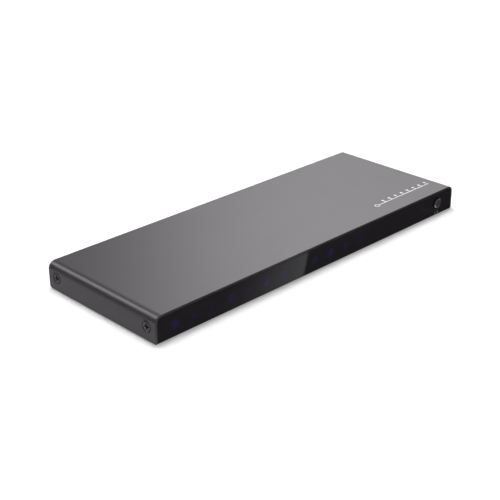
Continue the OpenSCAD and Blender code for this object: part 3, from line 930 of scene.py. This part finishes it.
def mouth(grow):
    """Outline of a socket's mouth about the middle of its floor, drawn out by grow."""
    half, shift = MOUTH_W / 2 + grow, grow * math.tan(math.radians(MOUTH_SLOPE / 2))
    low, cut, top = MOUTH_W / 2 - MOUTH_CUT + shift, MOUTH_CUT - shift, MOUTH_H + grow
    return rounded([(-low, -grow), (low, -grow), (half, cut), (half, top), (-half, top), (-half, cut)],
                   SHELL_R + grow)


def spring_finger(bm, x, wall, sag, face):
    """A bowed strip that presses on the plug from one wall of a socket."""
    rings = []
    for k in range(FINGER_STEPS + 1):
        run = k / FINGER_STEPS
        lean = wall + sag * math.sin(math.pi * run)
        h = -FINGER_START - FINGER_L * run
        rings.append([face @ Vector((x + u * FINGER_W / 2, lean + v * FINGER_T / 2, h)) for u, v in SQUARE])
    loft(bm, rings)


def socket_shells():
    for port in PORTS:
        node = "hdmi_shell_" + port
        low, high = corners(node)
        face = rear_face(((low.x + high.x) / 2, high.y, low.z + SHELL_T))
        depth = high.y - low.y
        outside = [(SHELL_T, depth)] + [(SHELL_T + out, back) for out, back in ROLL_OUTSIDE]
        inside = [*ROLL_INSIDE, (0, depth)]
        bm = bmesh.new()
        loft(bm, [lifted(mouth(out), -back, face) for out, back in outside + inside], wrap=True)
        for x in (-FINGER_X, FINGER_X):
            spring_finger(bm, x, MOUTH_H - FINGER_SEAT, FINGER_SAG_TOP, face)
            spring_finger(bm, x, FINGER_SEAT, FINGER_SAG_FLOOR, face)
        make("socket_shell_" + port, bm, FINISH["socket_shell"], replaces=[node])


def jack_pin():
    low, high = corners("jack_pin")
    face = rear_face(((low.x + high.x) / 2, high.y, (low.z + high.z) / 2))
    r, depth = PIN_D / 2, high.y - low.y
    tip = arc((r - PIN_TIP_R, -PIN_TIP_R), PIN_TIP_R, 90, 0, 6)
    slit = bar(-PIN_SLIT_W / 2, PIN_SLIT_W / 2, -r - CUT_OVER, r + CUT_OVER)
    bm, tool = bmesh.new(), bmesh.new()
    lathe(bm, [(0, 0)] + tip + [(r, -depth), (0, -depth)], face, steps=48)
    prism(tool, slit, -PIN_SLIT_L, CUT_OVER, face)
    make("jack_center_pin", carved(bm, tool), FINISH["jack_metal"],
         replaces=["jack_pin"])


def rear_print():
    """Plain marks over the sockets: an arrow, the numbers of the outputs, and the jack's polarity."""
    wall = corners("base_tray")[1]
    z = (corners("hdmi_shell_in")[1].z + wall.z) / 2
    bm = bmesh.new()
    for port in PORTS:
        low, high = corners("hdmi_shell_" + port)
        face = rear_face(((low.x + high.x) / 2, wall.y, z))
        if port == "in":
            strokes(bm, arrow_mark(REAR_ARROW), face)
        else:
            digit(bm, port, REAR_MARK, face)
    low, high = corners("jack_body")
    face = rear_face(((low.x + high.x) / 2, wall.y, z + POLE_RISE))
    arm, half = POLE_ARM, POLE_LINE / 2
    level = [bar(x - arm, x + arm, -half, half) for x in (-POLE_X, POLE_X)]
    strokes(bm, level + [bar(POLE_X - half, POLE_X + half, -arm, arm)], face)
    ring_print(bm, *POLE_RING, face, steps=24)
    make("rear_print", bm, WHITE_PRINT)


# Stage: floor, light and the cards that the gloss shows

def shader_of(material, kind):
    return material.node_tree.nodes.new("ShaderNode" + kind)


def bare_material(name):
    material = bpy.data.materials.new(name)
    material.use_nodes = True
    material.node_tree.nodes.clear()
    return material


def seen_rays(tree):
    """1 for what is seen directly, in gloss or through glass, and 0 for light that falls on things."""
    path = tree.nodes.new("ShaderNodeLightPath")
    found = path.outputs["Is Camera Ray"]
    for ray in ("Is Glossy Ray", "Is Transmission Ray"):
        either = tree.nodes.new("ShaderNodeMath")
        either.operation = "MAXIMUM"
        tree.links.new(found, either.inputs[0])
        tree.links.new(path.outputs[ray], either.inputs[1])
        found = either.outputs["Value"]
    return found


def stage_object(name, points, faces, material):
    mesh = bpy.data.meshes.new(name)
    mesh.from_pydata(points, [], faces)
    made = bpy.data.objects.new(name, mesh)
    bpy.context.scene.collection.objects.link(made)
    mesh.materials.append(material)
    return made


# Floor: its half side, its white, the light of its own that it shows near the object and far from it, and
# the distances between which that light rises, in metres. The last value is the studio's light on things.
FLOOR_HALF = 3.0
FLOOR_WHITE = 0.95
FLOOR_LIFT = 0.16
FAR_LIFT = 0.52
LIFT_NEAR = 0.45
LIFT_FAR = 1.6
AMBIENT = 0.5

# Cards: how far those on the floor lie over it, and the button's card with its half sides, its middle from
# the middle of the button's face, all in millimetres, and its level
CARD_RISE = 0.1
RIM_CARD_HALF = (4.5, 4.2)
RIM_CARD_AT = (-2.9, -4.6, -5.8)
RIM_CARD_LEVEL = 1.5

# The sheet that the panel's gloss shows, millimetres: its edge runs from one floor point to the other, its
# levels go by the distance from that edge, and its sides slant to the right from near the panel's ends
SHEET_EDGE = ((-14.6, -46.7), (11.0, -66.0))
SHEET_LEVELS = ((-150, 0.07), (-76, 0.10), (-52, 0.117), (-0.3, 0.142), (0, 0.72), (17, 0.45), (25, 0.29),
                (33, 0.22), (41, 0.165), (150, 0.155))
SHEET_RISE = 0.15
SHEET_START = 0.75
SHEET_REACH = 500.0
SHEET_LEFT = -0.1
SHEET_LEFT_SLANT = 0.8
SHEET_RIGHT = 40.0
SHEET_RIGHT_SLANT = 1.8


def floor():
    """A pale floor that keeps the object's shadow and hides nothing from below."""
    material = bare_material("pale floor")
    tree = material.node_tree
    paper = shader_of(material, "BsdfDiffuse")
    paper.inputs["Color"].default_value = (FLOOR_WHITE, FLOOR_WHITE, FLOOR_WHITE, 1)
    lift = shader_of(material, "Emission")
    clear = shader_of(material, "BsdfTransparent")
    both, mix = shader_of(material, "AddShader"), shader_of(material, "MixShader")
    away = tree.nodes.new("ShaderNodeVectorMath")
    away.operation = "LENGTH"
    tree.links.new(tree.nodes.new("ShaderNodeTexCoord").outputs["Object"], away.inputs[0])
    rise = tree.nodes.new("ShaderNodeMapRange")
    set_range(rise, LIFT_NEAR, LIFT_FAR, FLOOR_LIFT, FAR_LIFT)
    tree.links.new(away.outputs["Value"], rise.inputs["Value"])
    strength = tree.nodes.new("ShaderNodeMath")
    strength.operation = "MULTIPLY"
    tree.links.new(seen_rays(tree), strength.inputs[0])
    tree.links.new(rise.outputs["Result"], strength.inputs[1])
    tree.links.new(strength.outputs["Value"], lift.inputs["Strength"])
    tree.links.new(paper.outputs["BSDF"], both.inputs[0])
    tree.links.new(lift.outputs["Emission"], both.inputs[1])
    tree.links.new(tree.nodes.new("ShaderNodeNewGeometry").outputs["Backfacing"], mix.inputs["Fac"])
    tree.links.new(both.outputs["Shader"], mix.inputs[1])
    tree.links.new(clear.outputs["BSDF"], mix.inputs[2])
    tree.links.new(mix.outputs["Shader"], shader_of(material, "OutputMaterial").inputs["Surface"])
    h = FLOOR_HALF
    stage_object("floor", [(-h, -h, 0), (h, -h, 0), (h, h, 0), (-h, h, 0)], [(0, 1, 2, 3)], material)


def world():
    made = bpy.data.worlds.new("white studio")
    bpy.context.scene.world = made
    made.use_nodes = True
    tree = made.node_tree
    level = tree.nodes.new("ShaderNodeMapRange")
    set_range(level, 0, 1, AMBIENT, 1)
    tree.links.new(seen_rays(tree), level.inputs["Value"])
    background = tree.nodes["Background"]
    background.inputs["Color"].default_value = (1, 1, 1, 1)
    tree.links.new(level.outputs["Result"], background.inputs["Strength"])


def glow(name):
    """Light as strong as the mesh's own glow attribute says."""
    material = bare_material(name)
    links = material.node_tree.links
    light, level = shader_of(material, "Emission"), shader_of(material, "Attribute")
    level.attribute_name = "glow"
    links.new(level.outputs["Fac"], light.inputs["Strength"])
    links.new(light.outputs["Emission"], shader_of(material, "OutputMaterial").inputs["Surface"])
    return material


def glowing(name, points, faces, levels):
    made = stage_object(name, points, faces, glow(name))
    made.data.attributes.new("glow", "FLOAT", "POINT").data.foreach_set("value", levels)
    return made


def level_at(spot, stops):
    """The level at a spot between (spot, level) stops."""
    for (a, low), (b, high) in zip(stops, stops[1:]):
        if spot <= b:
            return low + (high - low) * (spot - a) / (b - a)
    return stops[-1][1]


def hide_card(made, lights_things):
    """Leaves a card in what gloss shows, and in the light on things where it lights them."""
    made.visible_camera = False
    made.visible_shadow = False
    made.visible_transmission = False
    made.visible_diffuse = lights_things


def direction(azimuth, elevation):
    """Towards a point of the sky, in degrees. Azimuth runs from +X towards +Y."""
    a, e = math.radians(azimuth), math.radians(elevation)
    return Vector((math.cos(e) * math.cos(a), math.cos(e) * math.sin(a), math.sin(e)))


def sky_card(name, stops, rises, radius, across=32, upward=16):
    """A bowed card round the object, seen in gloss alone. Its stops are (azimuth, level) and its rises are
    (elevation, factor), in degrees, and its radius is in metres."""
    points, levels = [], []
    for j in range(upward + 1):
        rise = rises[0][0] + (rises[-1][0] - rises[0][0]) * j / upward
        for k in range(across + 1):
            azimuth = stops[0][0] + (stops[-1][0] - stops[0][0]) * k / across
            points.append(radius * direction(azimuth, rise))
            levels.append(level_at(azimuth, stops) * level_at(rise, rises))
    row = across + 1
    faces = [(j * row + k, j * row + k + 1, (j + 1) * row + k + 1, (j + 1) * row + k)
             for j in range(upward) for k in range(across)]
    hide_card(glowing(name, points, faces, levels), False)


def key_card(name, azimuth, elevation, distance, side, level):
    """A square soft light that faces the object, sized in metres."""
    out = direction(azimuth, elevation)
    turn = out.to_track_quat("Z", "Y")
    points = [out * distance + turn @ Vector((u * side / 2, v * side / 2, 0)) for u, v in SQUARE]
    hide_card(glowing(name, points, [(0, 1, 2, 3)], [level] * 4), True)


def floor_card(name, low, high, level):
    """A flat card on the floor, in millimetres, seen in gloss alone."""
    sides = bar(low[0], high[0], low[1], high[1])
    points = [(x * MM, y * MM, CARD_RISE * MM) for x, y in sides]
    hide_card(glowing(name, points, [(0, 1, 2, 3)], [level] * 4), False)


def sheet_light():
    """Light that goes by local X, the distance from the sheet's edge."""
    material = bare_material("gloss sheet")
    tree = material.node_tree
    nearest, farthest = SHEET_LEVELS[0][0], SHEET_LEVELS[-1][0]
    split = tree.nodes.new("ShaderNodeSeparateXYZ")
    fade = tree.nodes.new("ShaderNodeMapRange")
    set_range(fade, nearest * MM, farthest * MM, 0, 1)
    ramp = tree.nodes.new("ShaderNodeValToRGB")
    stops = ramp.color_ramp.elements
    for _ in SHEET_LEVELS[2:]:
        stops.new(0.5)
    for stop, (spot, level) in zip(stops, SHEET_LEVELS):
        stop.position = (spot - nearest) / (farthest - nearest)
        stop.color = (level, level, level, 1)
    light = shader_of(material, "Emission")
    place_of = tree.nodes.new("ShaderNodeTexCoord")
    tree.links.new(place_of.outputs["Object"], split.inputs["Vector"])
    tree.links.new(split.outputs["X"], fade.inputs["Value"])
    tree.links.new(fade.outputs["Result"], ramp.inputs["Fac"])
    tree.links.new(ramp.outputs["Color"], light.inputs["Color"])
    tree.links.new(light.outputs["Emission"], shader_of(material, "OutputMaterial").inputs["Surface"])
    return material


def gloss_sheet():
    """A dark sheet on the floor before the panel, with a paler fade up to one straight edge."""
    low, high = corners("front_panel")
    start, end = Vector(SHEET_EDGE[0]), Vector(SHEET_EDGE[1])
    along = (end - start).normalized()
    out = Vector((along.y, -along.x))
    turn = Matrix(((out.x, along.x, 0), (out.y, along.y, 0), (0, 0, -1))).to_4x4()
    matrix = Matrix.Translation(Vector((start.x, start.y, SHEET_RISE)) * MM) @ turn
    flat = []
    for away in (SHEET_START, SHEET_REACH):
        left = low.x + SHEET_LEFT + SHEET_LEFT_SLANT * away
        right = high.x + SHEET_RIGHT + SHEET_RIGHT_SLANT * away
        flat += [(left, low.y - away), (right, low.y - away)]
    points = [matrix.inverted() @ Vector((x * MM, y * MM, SHEET_RISE * MM)) for x, y in flat]
    made = stage_object("gloss_sheet", points, [(0, 1, 3, 2)], sheet_light())
    made.matrix_world = matrix
    hide_card(made, False)


def rim_card():
    """A small card that the button's rim shows from below. It lies edge-on to the panel's gloss."""
    low, high = corners("push_button")
    face = Vector(((low.x + high.x) / 2, low.y, (low.z + high.z) / 2))
    sight = (face - camera_place()).normalized()
    along = Vector((sight.x, -sight.y, sight.z)) * RIM_CARD_HALF[0]
    across = along.cross(UP).normalized() * RIM_CARD_HALF[1]
    middle = face + Vector(RIM_CARD_AT)
    points = [(middle + u * along + v * across) * MM for u, v in SQUARE]
    hide_card(glowing("rim_card", points, [(0, 1, 2, 3)], [RIM_CARD_LEVEL] * 4), False)


def lights():
    """One light on things, and the cards that gloss shows."""
    key_card("key_light", azimuth=76, elevation=80, distance=1.4, side=0.5, level=15.0)
    stops = [(-5, 1.75), (30, 2.04), (40, 2.32), (46, 2.16), (52, 1.54), (57, 0.55), (61, 0.05)]
    rises = [(4, 0.45), (15, 0.4), (25, 1.0), (35, 2.6), (44, 1.7), (52, 0.5)]
    sky_card("right_softbox", stops, rises, radius=1.5)
    sky_card("left_strip", [(97, 5.3), (140, 5.3)], [(31, 1), (62, 1)], radius=1.6)
    sky_card("dark_flag", [(62, 0.25), (172, 0.25)], [(-1, 1), (64, 1)], radius=2.0)
    sky_card("low_flag", [(95, 0.1), (175, 0.1)], [(0, 1), (8, 1)], radius=0.3)
    sky_card("camera_flag", [(190, 0.2), (355, 0.2)], [(2, 1), (70, 1)], radius=1.9)
    floor_card("left_sheet", (-600, -400), (-126.5, 600), level=0.8)


def camera():
    data = bpy.data.cameras.new("camera")
    data.lens = CAMERA_LENS
    data.clip_start = CAMERA_NEAR * MM
    made = bpy.data.objects.new("camera", data)
    bpy.context.scene.collection.objects.link(made)
    made.location = camera_place() * MM
    made.rotation_mode = "QUATERNION"
    made.rotation_quaternion = (Vector(CAMERA_TARGET) - camera_place()).to_track_quat("-Z", "Y")
    bpy.context.scene.camera = made


camera()
dress_cad_nodes()
cover()
cover_screws()
front_panel()
push_button()
lamp_marks()
button_mark()
top_print()
socket_shells()
jack_pin()
rear_print()
floor()
world()
lights()
rim_card()
gloss_sheet()
bpy.context.scene.view_settings.view_transform = "Standard"
